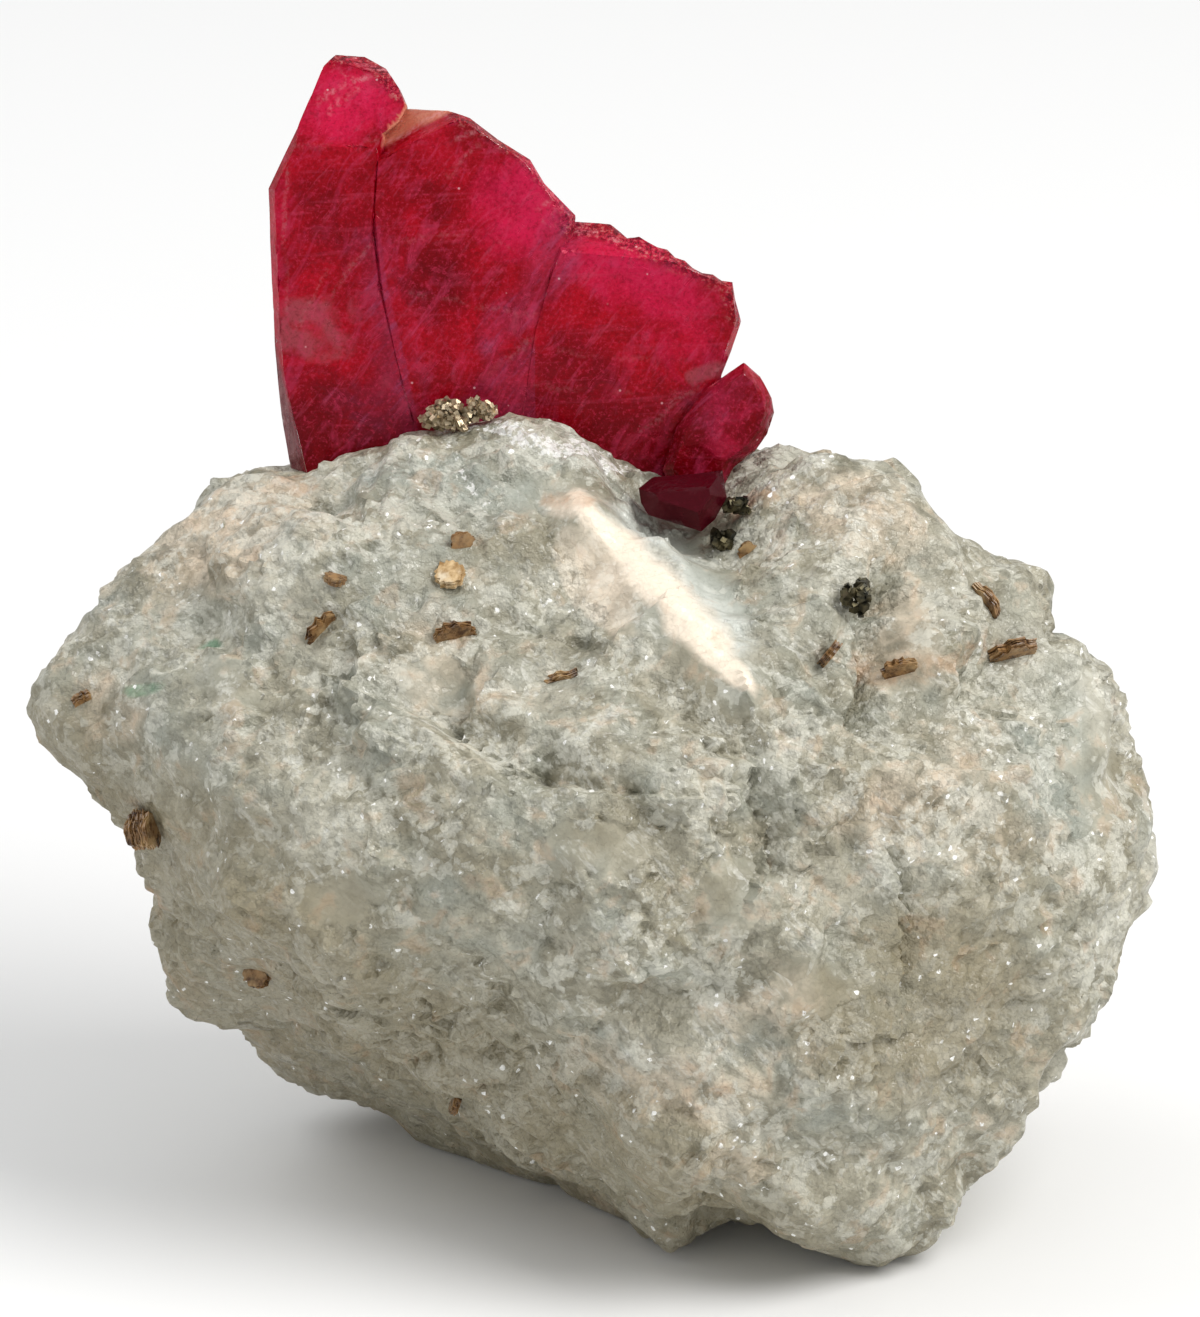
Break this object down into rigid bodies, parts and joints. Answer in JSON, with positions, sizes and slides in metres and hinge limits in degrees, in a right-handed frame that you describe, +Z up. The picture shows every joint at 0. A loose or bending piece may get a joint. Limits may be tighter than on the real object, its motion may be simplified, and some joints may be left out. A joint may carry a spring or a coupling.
{
  "type": "ruby on matrix",
  "caption": "Natural mineral specimen: bladed ruby crystals grown together on top of a rough lump of coarse grey-white marble with set-in mica and pyrite.",
  "frame": {"origin": "under the middle of the specimen, on the surface it stands on", "axes": "+Z up, +X to the right and +Y away from a viewer who faces the broad front of the ruby crystals"},
  "size_m": [0.0472, 0.0294, 0.0469],
  "materials": {
    "marble": "rough broken coarse-grained calcite marble, grey-green to cream",
    "ruby": "translucent deep pinkish red crystal, glassy faces with faint growth steps",
    "mica": "brown to golden foliated mica, glossy leaves",
    "pyrite": "dark brassy metallic grains"
  },
  "bodies": {
    "root": {"marble_matrix": "marble", "ruby_group": "ruby", "small_ruby": "ruby", "mica_book_left": "mica", "mica_disc": "mica", "mica_blade_upper_left": "mica", "mica_blade_centre": "mica", "mica_blade_middle": "mica", "mica_scale_top": "mica", "mica_scale_left": "mica", "mica_tablet_right": "mica", "mica_books_shoulder": "mica", "mica_leaf_stack": "mica", "mica_scale_right": "mica", "mica_by_small_ruby": "mica", "mica_left_edge": "mica", "mica_lower_left_edge": "mica", "mica_foot": "mica", "mica_back_upper": "mica", "mica_back_middle": "mica", "mica_back_right": "mica", "mica_back_lower": "mica", "pyrite_grain_furrow": "pyrite", "pyrite_grain_upper": "pyrite", "pyrite_grain_lower": "pyrite", "pyrite_cluster": "pyrite"}
  },
  "joints": []
}
